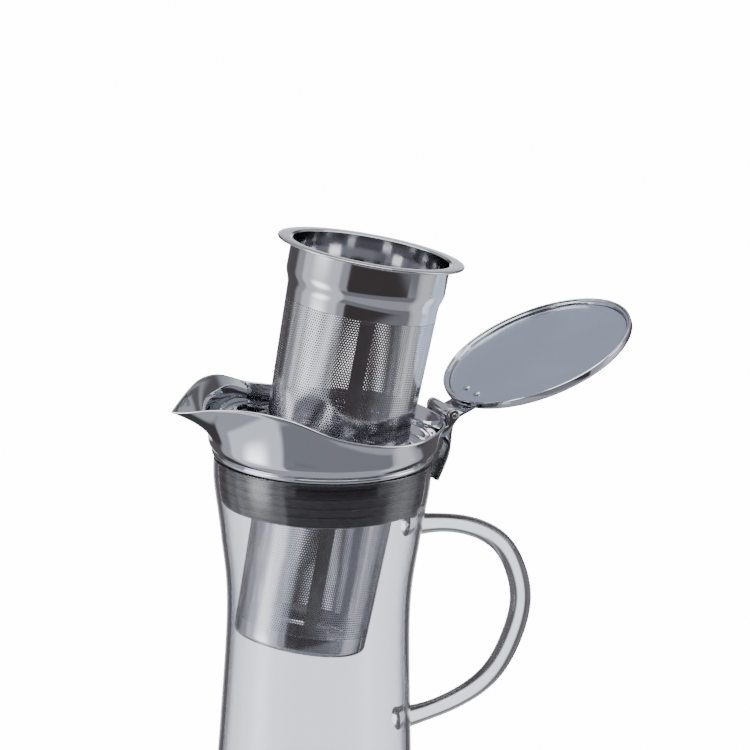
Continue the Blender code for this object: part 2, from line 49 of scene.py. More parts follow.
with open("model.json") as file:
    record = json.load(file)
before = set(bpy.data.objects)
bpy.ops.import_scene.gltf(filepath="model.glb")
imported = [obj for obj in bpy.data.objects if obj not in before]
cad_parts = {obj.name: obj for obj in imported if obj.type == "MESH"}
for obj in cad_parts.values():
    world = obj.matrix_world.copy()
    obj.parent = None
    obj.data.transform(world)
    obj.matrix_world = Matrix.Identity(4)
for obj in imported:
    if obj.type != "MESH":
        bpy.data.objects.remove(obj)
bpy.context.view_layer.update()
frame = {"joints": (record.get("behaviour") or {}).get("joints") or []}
JOINTS = {joint["name"]: joint for joint in frame["joints"]}
LIP_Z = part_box("glass_jug")[1].z
HINGE = Vector(JOINTS["lid_hinge"]["pos_m"])
LID_OPEN = math.radians(JOINTS["lid_hinge"]["range_deg"][1])
LIFT_POLE = Vector(JOINTS["infuser_lift"]["pos_m"])
LIFT_TILT = math.radians(JOINTS["infuser_lift"]["range_deg"][1])
GAP = 0.0003  # left between pieces that touch
CRISP = math.radians(50)  # edges sharper than this aren't smoothed over
NECK_IN = 0.0006  # how far the collar's wall stands inside the bead's edge
CAP_SINK = 0.0008  # how far the cap's middle lies below the hinge's axis
BRACKET_UP = 0.0042  # the hinge bracket's foot above the bead
FOOT_HOLLOW = 0.0006  # how far the jug's underside is hollowed
LATHE_GLASS, LATHE_LID, LATHE_INFUSER, LATHE_SMALL = 192, 256, 224, 40  # steps round a turned piece


# ---- sizes and colours -----------------------------------------------------------------------------
def length(name, description, default):
    return FloatProperty(name=name, description=description, default=default, unit="LENGTH", precision=5)


def colour(name, description, default):
    return FloatVectorProperty(
        name=name, description=description, default=default, subtype="COLOR", size=3, min=0, max=1
    )


class JugSizes(PropertyGroup):
    neck: length("Neck radius", "Outer radius at the lip", 0.0445)
    waist: length("Waist radius", "Outer radius at the waist", 0.0377)
    waist_drop: length("Waist depth", "The waist's depth below the lip", 0.0640)
    belly: length("Belly radius", "Outer radius low on the jug", 0.0434)
    belly_z: length("Belly height", "Height where the belly is widest", 0.0130)
    foot: length("Foot radius", "Radius of the flat base", 0.0365)
    wall: length("Wall", "Thickness of the blown wall", 0.0020)
    base: length("Base", "Thickness of the base", 0.0040)
    rod: length("Handle rod radius", "Radius of the handle's rod", 0.0045)
    root_flare: length("Root flare", "How much wider the rod is at the jug", 0.0012)
    top_drop: length("Upper root depth", "The upper root's depth below the lip", 0.0340)
    low_drop: length("Lower root depth", "The lower root's depth below the lip", 0.1180)
    reach: length("Handle reach", "The rod's farthest centre from the jug's axis", 0.0935)


class CollarSizes(PropertyGroup):
    sheet: length("Sheet", "Thickness of the collar's wall", 0.0012)
    bead: length("Bead radius", "Outer radius of the bead on the lip", 0.0453)
    bead_h: length("Bead height", "Height of the bead", 0.0022)
    bulge: length("Bulge radius", "Outer radius just above the bead", 0.0468)
    bulge_h: length("Bulge height", "Height of the bulge", 0.0060)
    mouth: length("Mouth radius", "Radius of the round part of the rim", 0.0487)
    mouth_h: length("Mouth height", "Height of the rim above the bead", 0.0129)
    hinge_rim: length("Rim at the hinge", "Radius of the rim at the hinge", 0.0500)
    hinge_rim_h: length("Rim height at the hinge", "Height of the rim there", 0.0115)
    spout: length("Spout radius", "The spout tip's distance from the axis", 0.0672)
    spout_h: length("Spout height", "The spout tip's height above the bead", 0.0221)
    shoulder_h: length("Shoulder height", "The rim's highest point beside the spout", 0.0268)
    throat: length("Throat radius", "Inner radius of the throat", 0.0349)
    sleeve: length("Sleeve wall", "Thickness of the throat's wall", 0.0008)
    seat_drop: length("Seat depth", "Depth of the seat below the bead", 0.0042)
    pocket: length("Pocket radius", "Inner radius of the pocket for the infuser's rim", 0.0394)
    seal_h: length("Seal height", "Height of the silicone seal", 0.0190)
    seal_ribs: IntProperty(name="Seal ribs", description="Ribs round the seal", default=5, min=1)
    rib: length("Rib depth", "How far the grooves go in between the ribs", 0.0008)


class LidSizes(PropertyGroup):
    radius: length("Lid radius", "Outer radius of the cap", 0.0411)
    arm: length("Lid arm", "From the hinge to the disc's centre", 0.0471)
    skirt: length("Skirt", "Height of the cap's rim", 0.0042)
    recess: length("Recess", "Depth of the plate inside the rim", 0.0020)
    wall: length("Cap wall", "Thickness of the cap", 0.0010)
    strap: length("Strap width", "Width of the strap and lever", 0.0176)
    strap_t: length("Strap thickness", "Thickness of the strap", 0.0012)
    lever: length("Lever length", "Length of the thumb lever", 0.0290)
    lug: length("Lug thickness", "Thickness of a hinge lug", 0.0018)
    knuckle: length("Knuckle radius", "Outer radius of the curl and the lugs", 0.0026)
    pin: length("Pin radius", "Radius of the hinge pin", 0.0012)
    rivet_apart: length("Rivets apart", "Distance between the two rivets", 0.0094)
    rivet_in: length("Rivet distance", "From the hinge to the rivets", 0.0145)
    rivet: length("Rivet head radius", "Radius of a rivet's head", 0.0018)


class InfuserSizes(PropertyGroup):
    rim: length("Rim radius", "Outer radius of the flange", 0.0384)
    rim_t: length("Rim thickness", "Thickness of the flange", 0.0010)
    cup: length("Cup radius", "Outer radius of the plain upper part", 0.0327)
    cup_h: length("Cup height", "Depth of the plain upper part", 0.0135)
    step_h: length("Step height", "Height of the step", 0.0045)
    body: length("Body radius", "Outer radius of the etched sleeve at its top", 0.0311)
    body_low: length("Low body radius", "Outer radius of the sleeve at its bottom", 0.0270)
    band: length("Plain band", "Plain band below the step", 0.0060)
    length: length("Length", "Whole length of the infuser", 0.1645)
    base_band: length("Base cup height", "Height of the plain cup at the bottom", 0.0078)
    wall: length("Wall", "Thickness of the plain steel", 0.0005)
    mesh_wall: length("Mesh wall", "Thickness of the etched sheet", 0.00025)
    seam: length("Seam strip width", "Width of the plain strip", 0.0055)
    seam_turn: FloatProperty(
        name="Seam turn", description="Where the strip stands round the sleeve",
        default=math.radians(-109.5), subtype="ANGLE",
    )
    pitch: length("Hole pitch", "Distance between the etched holes", 0.00112)
    open_share: FloatProperty(
        name="Open share", description="Share of the sheet that is hole", default=0.36, min=0, max=0.8,
        subtype="FACTOR",
    )


class Finishes(PropertyGroup):
    glass: colour("Glass", "Tint of the glass", (0.925, 0.935, 0.955))
    chrome: colour("Chrome", "Colour of the polished chrome", (0.66, 0.67, 0.70))
    steel: colour("Steel", "Colour of the satin steel", (0.58, 0.58, 0.60))
    # the plate's blue-grey tint is a painted reflection: plain steel coloured like the blue-grey studio it
    # mirrors
    lid_steel: colour("Lid plate", "Colour of the lid's underside", (0.52, 0.58, 0.70))
    mesh: colour("Etched sheet", "Colour of the etched sheet", (0.74, 0.74, 0.77))
    # the inner face's colour is painted shade: the same etched steel, darkened because the inside of the
    # sleeve lies in shadow
    mesh_inside_painted_shade: colour("Etched sheet inside", "Colour of the sheet's inner face", (0.14, 0.13, 0.13))
    silicone: colour("Silicone", "Colour of the seal", (0.022, 0.019, 0.021))
    floor: colour("Floor", "Colour of the floor", (0.90, 0.90, 0.91))


# ---- mesh tools --------------------------------------------------------------------------------------
def add_piece(name, bm, finish, body, node, place=None):
    """Makes an object of bm, places it, hangs it on its body's empty, and hides the CAD part it stands for.
    """
    bmesh.ops.recalc_face_normals(bm, faces=bm.faces)
    mesh = bpy.data.meshes.new(name)
    bm.to_mesh(mesh)
    bm.free()
    mesh.shade_smooth()
    mesh.set_sharp_from_angle(angle=CRISP)
    mesh.materials.append(finish)
    piece = bpy.data.objects.new(name, mesh)
    bpy.context.collection.objects.link(piece)
    if place is not None:
        piece.matrix_world = place
    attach(piece, body)
    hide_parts(node)
    return piece


def filleted(corners, steps=5):
    """The closed outline through corners (x, z, radius), with each corner rounded by its radius."""
    points = []
    count = len(corners)
    for i, (x, z, radius) in enumerate(corners):
        here = Vector((x, z))
        before = Vector(corners[i - 1][:2]) - here
        after = Vector(corners[(i + 1) % count][:2]) - here
        if radius <= 0 or before.length < 1e-9 or after.length < 1e-9:
            points.append((x, z))
            continue
        half = before.angle(after) / 2
        reach = min(radius / math.tan(half), 0.49 * before.length, 0.49 * after.length)
        one, other = here + before.normalized() * reach, here + after.normalized() * reach
        centre = here + (before.normalized() + after.normalized()).normalized() * (reach / math.cos(half))
        for k in range(steps + 1):
            t = k / steps
            arm = (one - centre).lerp(other - centre, t)
            arm = arm.normalized() * (one - centre).length
            points.append(tuple(centre + arm))
    return points


def lathed(outline, steps=160):
    """A bmesh of the closed outline of (radius, height) points turned about Z."""
    bm = bmesh.new()
    rings = []
    for r, z in outline:
        if r < 1e-7:
            rings.append([bm.verts.new((0, 0, z))])
            continue
        turns = [2 * math.pi * k / steps for k in range(steps)]
        rings.append([bm.verts.new((r * math.cos(t), r * math.sin(t), z)) for t in turns])
    for one, other in zip(rings, rings[1:] + rings[:1]):
        bridge(bm, one, other)
    return bm


def bridge(bm, one, other, closed=True):
    """Faces between two rings; a ring of one point is an end on the axis."""
    count = max(len(one), len(other))
    if len(one) == 1 and len(other) == 1:
        return
    for k in range(count if closed else count - 1):
        n = (k + 1) % count
        if len(one) == 1:
            bm.faces.new((one[0], other[n], other[k]))
        elif len(other) == 1:
            bm.faces.new((one[k], one[n], other[0]))
        else:
            bm.faces.new((one[k], one[n], other[n], other[k]))


def slab(outline, low, high, bevel=0.0002):
    """A bmesh of the outline of (x, z) points between y = low and y = high, with rounded edges."""
    bm = bmesh.new()
    face = bm.faces.new([bm.verts.new((x, low, z)) for x, z in outline])
    made = bmesh.ops.extrude_face_region(bm, geom=[face])["geom"]
    moved = [v for v in made if isinstance(v, bmesh.types.BMVert)]
    bmesh.ops.translate(bm, verts=moved, vec=(0, high - low, 0))
    caps = {f for f in bm.faces if abs(abs(f.normal.y) - 1) < 1e-3}
    edges = [e for e in bm.edges if sum(f in caps for f in e.link_faces) == 1]
    bmesh.ops.bevel(bm, geom=edges, offset=bevel, segments=3, profile=0.5, affect="EDGES")
    return bm


def smooth(stations, count):
    """Points on a smooth curve through the stations (Catmull-Rom)."""
    knots = [2 * Vector(stations[0]) - Vector(stations[1])]
    knots += [Vector(s) for s in stations]
    knots += [2 * Vector(stations[-1]) - Vector(stations[-2])]
    points = []
    for i in range(count):
        at = i / (count - 1) * (len(stations) - 1)
        k = min(int(at), len(stations) - 2)
        t = at - k
        a, b, c, d = knots[k : k + 4]
        points.append(
            0.5 * (2 * b + (c - a) * t + (2 * a - 5 * b + 4 * c - d) * t**2 + (3 * b - a - 3 * c + d) * t**3)
        )
    return points


def arc(cx, cz, radius, start, end, count):
    """Points on an arc, angles in degrees."""
    turns = [math.radians(start + (end - start) * i / (count - 1)) for i in range(count)]
    return [(cx + radius * math.cos(t), cz + radius * math.sin(t)) for t in turns]


def ease(t):
    t = min(max(t, 0.0), 1.0)
    return t * t * (3 - 2 * t)


# ---- finishes ----------------------------------------------------------------------------------------
METALS = {  # finish: its colour, roughness, smears, scale of the marks, scratches, bump
    "Polished chrome": ("chrome", 0.025, 0.03, 60.0, 0.5, 0.008),
    "Satin steel": ("steel", 0.14, 0.08, 60.0, 1.0, 0.05),
    "Drawn steel": ("steel", 0.07, 0.05, 60.0, 0.8, 0.03),
    # steel whose blue-grey colour is a painted reflection of the studio
    "Lid plate steel": ("lid_steel", 0.22, 0.05, 35.0, 0.5, 0.03),
    "Etched sheet": ("mesh", 0.12, 0.08, 60.0, 0.8, 0.03),
    # the inner face's finish is painted shade: the etched sheet darkened for the shadowed inside of the
    # sleeve
    "Etched sheet inside": ("mesh_inside_painted_shade", 0.35, 0.08, 60.0, 0.8, 0.03),
}
CLOUDED = 0.93  # how dark the darker clouds of a metal's tint are
DUSTY = 2.6  # how light the dust on the silicone is
GLASS_IOR = 1.47


def give(tree, made, inputs):
    """Gives each named input of a node its value, or joins it to a socket."""
    for key, value in inputs.items():
        if isinstance(value, bpy.types.NodeSocket):
            tree.links.new(value, made.inputs[key])
        else:
            made.inputs[key].default_value = value


def node(tree, kind, inputs=None, **settings):
    """A shader node with its settings made first, and then its inputs."""
    made = tree.nodes.new(kind)
    for key, value in settings.items():
        setattr(made, key, value)
    give(tree, made, inputs or {})
    return made


def maths(tree, operation, *values):
    """The outcome of a Math node on numbers or sockets."""
    return node(tree, "ShaderNodeMath", dict(enumerate(values)), operation=operation).outputs["Value"]


def noise(tree, where, scale, detail, distortion=0.0):
    """Soft noise from 0 to 1 over the surface."""
    inputs = {"Vector": where, "Scale": scale, "Detail": detail, "Distortion": distortion}
    return node(tree, "ShaderNodeTexNoise", inputs).outputs["Fac"]


def ranged(tree, value, low=0.0, high=1.0, to_low=0.0, to_high=1.0, **settings):
    """A value carried from the range low to high over to another, and held at its ends."""
    inputs = {"Value": value, "From Min": low, "From Max": high, "To Min": to_low, "To Max": to_high}
    return node(tree, "ShaderNodeMapRange", inputs, **settings).outputs["Result"]


def mixed(tree, factor, one, other):
    """A blend from one colour to the other."""
    inputs = {"Factor": factor, "A": one, "B": other}
    return node(tree, "ShaderNodeMix", inputs, data_type="RGBA").outputs["Result"]


def raised(tree, height, strength, distance):
    """The normal of a surface with small heights on it."""
    inputs = {"Height": height, "Strength": strength, "Distance": distance}
    return node(tree, "ShaderNodeBump", inputs).outputs["Normal"]


def object_space(tree):
    return node(tree, "ShaderNodeTexCoord").outputs["Object"]


def show(tree, shader_socket):
    """Makes a shader the material's surface."""
    tree.links.new(shader_socket, tree.nodes["Material Output"].inputs["Surface"])


def smudge_group():
    """Faint wiped smears and fine hairline scratches: masks that move roughness and a height."""
    name = "Smudges and hairlines"
    if name in bpy.data.node_groups:
        return bpy.data.node_groups[name]
    tree = bpy.data.node_groups.new(name, "ShaderNodeTree")
    face = tree.interface
    face.new_socket("Vector", in_out="INPUT", socket_type="NodeSocketVector")
    for label, default in (("Base roughness", 0.05), ("Smear", 0.03), ("Scale", 60.0), ("Scratch", 0.5)):
        face.new_socket(label, in_out="INPUT", socket_type="NodeSocketFloat").default_value = default
    for label in ("Roughness", "Height"):
        face.new_socket(label, in_out="OUTPUT", socket_type="NodeSocketFloat")
    given = tree.nodes.new("NodeGroupInput").outputs
    smears = ranged(tree, noise(tree, given["Vector"], given["Scale"], 4.0, 0.6), 0.42, 0.72)
    drawn_out = node(tree, "ShaderNodeMapping", {"Vector": given["Vector"], "Scale": (1.0, 1.0, 22.0)})
    lines = noise(tree, drawn_out.outputs["Vector"], maths(tree, "MULTIPLY", given["Scale"], 6.0), 3.0)
    made = {
        "Roughness": maths(tree, "MULTIPLY_ADD", smears, given["Smear"], given["Base roughness"]),
        "Height": maths(tree, "MULTIPLY", lines, given["Scratch"]),
    }
    node(tree, "NodeGroupOutput", made)
    return tree


def new_material(name):
    made = bpy.data.materials.new(name)
    made.use_nodes = True
    return made, made.node_tree, made.node_tree.nodes["Principled BSDF"]


def metal(name):
    """Polished or satin metal whose tint and gloss change slightly over the surface."""
    if name in bpy.data.materials:
        return bpy.data.materials[name]
    finish, roughness, smear, scale, scratch, bump = METALS[name]
    tint = getattr(bpy.context.scene.jug_finishes, finish)
    made, tree, shader = new_material(name)
    where = object_space(tree)
    marks = {"Base roughness": roughness, "Smear": smear, "Scale": scale, "Scratch": scratch}
    marks = node(tree, "ShaderNodeGroup", {"Vector": where, **marks}, node_tree=smudge_group()).outputs
    clouded = (*[CLOUDED * c for c in tint], 1)
    give(tree, shader, {
        "Base Color": mixed(tree, noise(tree, where, 0.5 * scale, 2.0), clouded, (*tint, 1)),
        "Metallic": 1.0,
        "Roughness": marks["Roughness"],
        "Normal": raised(tree, marks["Height"], bump, 0.0001),
    })
    return made


def glass_material():
    """Clear glass with the faint waves of blowing, which lets lamps light what it holds."""
    name = "Blown glass"
    if name in bpy.data.materials:
        return bpy.data.materials[name]
    made, tree, shader = new_material(name)
    where = object_space(tree)
    waves, film = noise(tree, where, 22.0, 1.0), noise(tree, where, 45.0, 4.0)
    give(tree, shader, {
        "Base Color": (*bpy.context.scene.jug_finishes.glass, 1),
        "Transmission Weight": 1.0,
        "IOR": GLASS_IOR,
        "Roughness": ranged(tree, film, 0.5, 0.9, 0.0, 0.03),
        "Normal": raised(tree, waves, 0.12, 0.0004),
    })
    shadow = node(tree, "ShaderNodeLightPath").outputs["Is Shadow Ray"]
    clear = node(tree, "ShaderNodeBsdfTransparent", {"Color": (0.92, 0.93, 0.94, 1)})
    either = {0: shadow, 1: shader.outputs["BSDF"], 2: clear.outputs["BSDF"]}
    show(tree, node(tree, "ShaderNodeMixShader", either).outputs["Shader"])
    return made


def silicone_material():
    """Matt dark silicone with a soft sheen, fine moulded grain and a little dust."""
    name = "Dark silicone"
    if name in bpy.data.materials:
        return bpy.data.materials[name]
    made, tree, shader = new_material(name)
    tint = bpy.context.scene.jug_finishes.silicone
    dust = noise(tree, object_space(tree), 900.0, 2.0)
    specks = ranged(tree, dust, 0.66, 0.76)
    give(tree, shader, {
        "Base Color": mixed(tree, specks, (*tint, 1), (*[DUSTY * c for c in tint], 1)),
        "Roughness": ranged(tree, dust, to_low=0.34, to_high=0.46),
        "Specular IOR Level": 0.7,
        "Normal": raised(tree, dust, 0.05, 0.00005),
    })
    return made


def etched_material(sizes, name):
    """Thin steel sheet with a staggered field of fine round holes, laid out round the sleeve's axis."""
    if name in bpy.data.materials:
        return bpy.data.materials[name]
    made = metal(name)
    tree = made.node_tree
    split = node(tree, "ShaderNodeSeparateXYZ", {"Vector": object_space(tree)}).outputs
    turn = maths(tree, "ARCTAN2", split["Y"], split["X"])
    columns = round(2 * math.pi * sizes.body / sizes.pitch)
    rows_per_metre = 2 / (math.sqrt(3) * sizes.pitch)
    waves = []  # three sets of waves, 60 degrees apart, all crest at the holes
    for across, up in ((1.0, 0.5), (0.0, 1.0), (1.0, -0.5)):
        part = maths(tree, "MULTIPLY", turn, across * columns)
        part = maths(tree, "MULTIPLY_ADD", split["Z"], up * rows_per_metre * 2 * math.pi, part)
        waves.append(maths(tree, "COSINE", part))
    crests = maths(tree, "ADD", maths(tree, "ADD", waves[0], waves[1]), waves[2])
    share = sizes.open_share
    sheet = maths(tree, "LESS_THAN", crests, 3.0 - 11.4 * share + 9.9 * share**2)  # fitted to the share
    beside = maths(tree, "ABSOLUTE", maths(tree, "SUBTRACT", turn, sizes.seam_turn))
    margin = maths(tree, "LESS_THAN", beside, 0.55 * sizes.seam / sizes.body)
    give(tree, tree.nodes["Principled BSDF"], {"Alpha": maths(tree, "MAXIMUM", sheet, margin)})
    return made


# ---- forms that several pieces share -----------------------------------------------------------------
def bead_z(collar):
    """Height of the bead's plane."""
    return LIP_Z + GAP + collar.bead_h / 2


def glass_outline(sizes, count=72):
    """The jug's outer radius and height on a smooth curve, from the belly up to the lip."""
    throat = (sizes.waist + 0.45 * (sizes.neck - sizes.waist), LIP_Z - 0.54 * sizes.waist_drop)
    flank = (sizes.waist + 0.28 * (sizes.belly - sizes.waist), LIP_Z - sizes.waist_drop - 0.0500)
    stations = [
        (sizes.belly, sizes.belly_z),
        flank,
        (sizes.waist, LIP_Z - sizes.waist_drop),
        throat,
        (sizes.neck - 0.0004, LIP_Z - 0.0120),
        (sizes.neck, LIP_Z),
    ]
    return [(p.x, p.y) for p in smooth(stations, count)]


def glass_radius(sizes, z):
    """The jug's outer radius at a height."""
    points = glass_outline(sizes)
    for (r0, z0), (r1, z1) in zip(points, points[1:]):
        if z0 <= z <= z1:
            return r0 + (r1 - r0) * (z - z0) / (z1 - z0)
    return points[-1][0]


def rim_at(sizes, turn):
    """The collar rim's radius and height above the bead at an angle from the spout, in radians."""
    degrees = math.degrees(turn)
    knots = [0, 14, 30, 50, 75, 105, 140, 180]  # degrees, with a radius and a height at each
    mouth, high = sizes.mouth, sizes.mouth_h
    radii = [sizes.spout, sizes.spout - 0.0100, mouth + 0.0029, mouth, mouth - 0.0004, mouth]
    radii += [mouth + 0.0006, sizes.hinge_rim]
    heights = [sizes.spout_h, 0.0253, sizes.shoulder_h, 0.0248, 0.0176, high + 0.0002]
    heights += [high, sizes.hinge_rim_h]
    k = max(i for i in range(len(knots) - 1) if knots[i] <= degrees + 1e-9)
    span = knots[k + 1] - knots[k]
    t = (degrees - knots[k]) / span
    values = []
    for row in (radii, heights):
        slopes = []
        for i in (k, k + 1):
            if i in (0, len(row) - 1):
                slopes.append(0.0 if row is heights or i else (row[1] - row[0]) / knots[1])
            else:
                slopes.append((row[i + 1] - row[i - 1]) / (knots[i + 1] - knots[i - 1]))
        a, b, p, q = row[k], row[k + 1], slopes[0] * span, slopes[1] * span
        values.append(a + p * t + (3 * (b - a) - 2 * p - q) * t**2 + (2 * (a - b) + p + q) * t**3)
    return values


def collar_radius(sizes, turn, height):
    """The collar's outer radius at an angle from the spout and a height above the bead."""
    rim_r, rim_h = rim_at(sizes, turn)
    low = sizes.bead - NECK_IN
    bulge = low + (sizes.bulge - low) * math.sin(ease(height / sizes.bulge_h) * math.pi / 2)
    return bulge + (rim_r - sizes.bulge) * (max(height, 0.0) / rim_h) ** 2.6


def lid_place():
    """Where a piece drawn round the hinge with the lid closed stands when it is open."""
    return Matrix.Translation(HINGE) @ Matrix.Rotation(LID_OPEN, 4, "Y")


def infuser_place(collar, sizes):
    """Where a piece drawn down from the rim's top stands when the infuser is drawn out."""
    rim_z = bead_z(collar) - collar.seat_drop + GAP + sizes.rim_t
    tilt = Matrix.Rotation(LIFT_TILT, 4, "Y")
    lifted = Matrix.Translation(LIFT_POLE) @ tilt @ Matrix.Translation(-LIFT_POLE)
    return lifted @ Matrix.Translation((0, 0, rim_z))


def body_radius(sizes, drop):
    """The infuser's outer radius at a depth below its top."""
    start = sizes.cup_h + sizes.step_h
    return sizes.body + (sizes.body_low - sizes.body) * (drop - start) / (sizes.length - start)


# ---- operators ---------------------------------------------------------------------------------------
class JUG_OT_glass(Operator):
    """Blown jug with a fire-polished lip and a thick base"""

    bl_idname = "jug.glass"
    bl_label = "Glass jug"

    def execute(self, context):
        sizes = context.scene.jug_sizes
        wall, base = sizes.wall, sizes.base
        outer = glass_outline(sizes)
        inner = [(r - wall, z) for r, z in outer]
        lip = arc(sizes.neck - wall / 2, LIP_Z - wall / 2, wall / 2, 0, 180, 11)
        outer = [p for p in outer if p[1] < LIP_Z - wall / 2 - 0.0002]
        inner = [p for p in inner if p[1] < LIP_Z - wall / 2 - 0.0002]
        foot = [(0, FOOT_HOLLOW), (sizes.foot - 0.0045, FOOT_HOLLOW), (sizes.foot - 0.0022, 0.0)]
        heel = smooth(
            [
                (sizes.foot, 0.0),
                (sizes.foot + 0.0036, 0.0011),
                (sizes.belly - 0.0012, 0.0052),
                (sizes.belly, sizes.belly_z),
            ],
            14,
        )[:-1]
        floor = smooth(
            [
                (sizes.belly - wall, sizes.belly_z),
                (sizes.belly - wall - 0.0022, base + 0.0042),
                (sizes.foot - 0.0010, base + 0.0008),
                (sizes.foot - 0.0080, base),
                (0.0, base),
            ],
            22,
        )[1:]
        outline = foot + [tuple(p) for p in heel] + outer + lip + inner[::-1] + [tuple(p) for p in floor]
        turned = lathed(outline, LATHE_GLASS)
        add_piece("jug_glass", turned, glass_material(), "jug", "glass_jug")
        return {"FINISHED"}


PATH_POINTS = 121  # along the handle's rod
RELAXED = 90  # rounds of easing the bends between its points
THINNED, FLARED = 50, 14  # points from each root over which the rod thins, and over which it flares
ROD_SIDES = 32


class JUG_OT_handle(Operator):
    """Glass rod bent to a handle, flared where it meets the jug"""

    bl_idname = "jug.handle"
    bl_label = "Glass handle"

    def execute(self, context):
        sizes = context.scene.jug_sizes
        top, low = LIP_Z - sizes.top_drop, LIP_Z - sizes.low_drop
        tall, reach = top - low, sizes.reach
        start = glass_radius(sizes, top) - 0.0001
        end = glass_radius(sizes, low) - 0.0001
        path = smooth(
            [
                (start, 0, top),
                (start + 0.40 * (reach - start), 0, top - 0.010 * tall),
                (start + 0.78 * (reach - start), 0, top - 0.115 * tall),
                (reach - 0.0030, 0, top - 0.300 * tall),
                (reach, 0, top - 0.475 * tall),
                (reach - 0.0055, 0, top - 0.680 * tall),
                (end + 0.72 * (reach - end), 0, top - 0.860 * tall),
                (end + 0.32 * (reach - end), 0, top - 0.970 * tall),
                (end, 0, low),
            ],
            PATH_POINTS,
        )
        for _ in range(RELAXED):
            path[1:-1] = [(a + 2 * b + c) / 4 for a, b, c in zip(path, path[1:], path[2:])]
        bm = bmesh.new()
        rings = []
        last = len(path) - 1
        for i, point in enumerate(path):
            along = (path[min(i + 1, last)] - path[max(i - 1, 0)]).normalized()
            side = Vector((0, 1, 0))
            out = along.cross(side)
            near = min(i, last - i)
            radius = sizes.rod * (0.84 + 0.16 * ease(near / THINNED))
            radius += sizes.root_flare * max(0.0, 1 - near / FLARED) ** 2
            ring = []
            for k in range(ROD_SIDES):
                t = 2 * math.pi * k / ROD_SIDES
                spot = point + radius * (math.cos(t) * side + math.sin(t) * out)
                if near == 0:  # the root follows the round wall
                    wall = glass_radius(sizes, spot.z) + 0.00004
                    spot.x = math.sqrt(max(wall**2 - spot.y**2, 0.0))
                ring.append(bm.verts.new(spot))
            rings.append(ring)
        for one, other in zip(rings, rings[1:]):
            bridge(bm, one, other)
        bm.faces.new(rings[0])
        bm.faces.new(rings[-1])
        add_piece("handle_rod", bm, glass_material(), "jug", "glass_handle")
        return {"FINISHED"}


class JUG_OT_collar(Operator):
    """Chromed shell with its bead, bulge, rolled rim and spout"""

    bl_idname = "jug.collar"
    bl_label = "Spout collar"

    def execute(self, context):
        sizes = context.scene.collar_sizes
        steps, rows = 256, 22
        shares = [(row + 0.4) / (rows - 0.6) for row in range(rows)]
        half, sheet = sizes.bead_h / 2, sizes.sheet
        core = sizes.bead - half
        z0 = bead_z(sizes)
        bm = bmesh.new()
        rings = []

        def ring(point_of):
            made = []
            for i in range(steps):
                angle = 2 * math.pi * i / steps
                r, h = point_of(angle if angle <= math.pi else 2 * math.pi - angle)
                made.append(bm.verts.new((-r * math.cos(angle), r * math.sin(angle), z0 + h)))
            rings.append(made)

        low_inner = sizes.bead - NECK_IN - sheet
        for r, h in [(low_inner, -half), (core, -half)]:
            ring(lambda t, r=r, h=h: (r, h))
        for r, h in arc(core, 0, half, -75, 68, 9):
            ring(lambda t, r=r, h=h: (r, h))
        for share in shares:
            ring(lambda t, s=share: self.outside(sizes, t, s))
        for k in range(1, 8):
            ring(lambda t, k=k: self.lip(sizes, t, k * 180 / 8))
        for share in reversed(shares):
            ring(lambda t, s=share: self.inside(sizes, t, s))
        for one, other in zip(rings, rings[1:] + rings[:1]):
            bridge(bm, one, other)
        add_piece("collar_shell", bm, metal("Polished chrome"), "collar", "spout_collar")
        return {"FINISHED"}

    @staticmethod
    def outside(sizes, turn, share):
        half = sizes.bead_h / 2
        height = half + share * (rim_at(sizes, turn)[1] - half)
        return collar_radius(sizes, turn, height), height

    @classmethod
    def inside(cls, sizes, turn, share):
        r, height = cls.outside(sizes, turn, share)
        return r - sizes.sheet, height

    @classmethod
    def lip(cls, sizes, turn, degrees):
        """The rolled rim: half a turn from the outside of the sheet to its inside."""
        r, height = cls.outside(sizes, turn, 1.0)
        roll = sizes.sheet / 2
        angle = math.radians(degrees)
        return r - roll + roll * math.cos(angle), height + roll * math.sin(angle)


class JUG_OT_throat(Operator):
    """Funnel, pocket and tube inside the collar that take the infuser"""

    bl_idname = "jug.throat"
    bl_label = "Throat sleeve"

    def execute(self, context):
        sizes = context.scene.collar_sizes
        wall = sizes.sleeve
        z0 = bead_z(sizes)
        seat = z0 - sizes.seat_drop
        lip = sizes.bead - NECK_IN - sizes.sheet - GAP
        top = z0 + sizes.bead_h / 2
        foot = z0 - sizes.bead_h / 2 - sizes.seal_h - 2 * GAP
        pocket, throat = sizes.pocket, sizes.throat
        corners = [
            (lip, top, 0.0002),
            (lip, top - wall, 0.0002),
            (pocket + wall, top - 2.2 * wall, 0.0003),
            (pocket + wall, seat - wall, 0.0006),
            (throat + wall, seat - wall, 0.0003),
            (throat + wall, foot, 0.0003),
            (throat + 3 * wall, foot, 0.0001),
            (throat + 3 * wall, foot - wall, 0.0001),
            (throat, foot - wall, 0.0005),
            (throat, seat, 0.0008),
            (pocket, seat, 0.0004),
            (pocket, top - 1.0 * wall, 0.0007),
            (pocket + 0.0011, top - 0.7 * wall, 0.0004),
            (pocket + 0.0015, top - 0.1 * wall, 0.0004),
            (pocket + 0.0026, top - 0.5 * wall, 0.0004),
            (lip - 0.0010, top - 0.5 * wall, 0.0003),
        ]
        turned = lathed(filleted(corners, 5), LATHE_GLASS)
        add_piece("throat_funnel", turned, metal("Polished chrome"), "collar", "throat_sleeve")
        return {"FINISHED"}


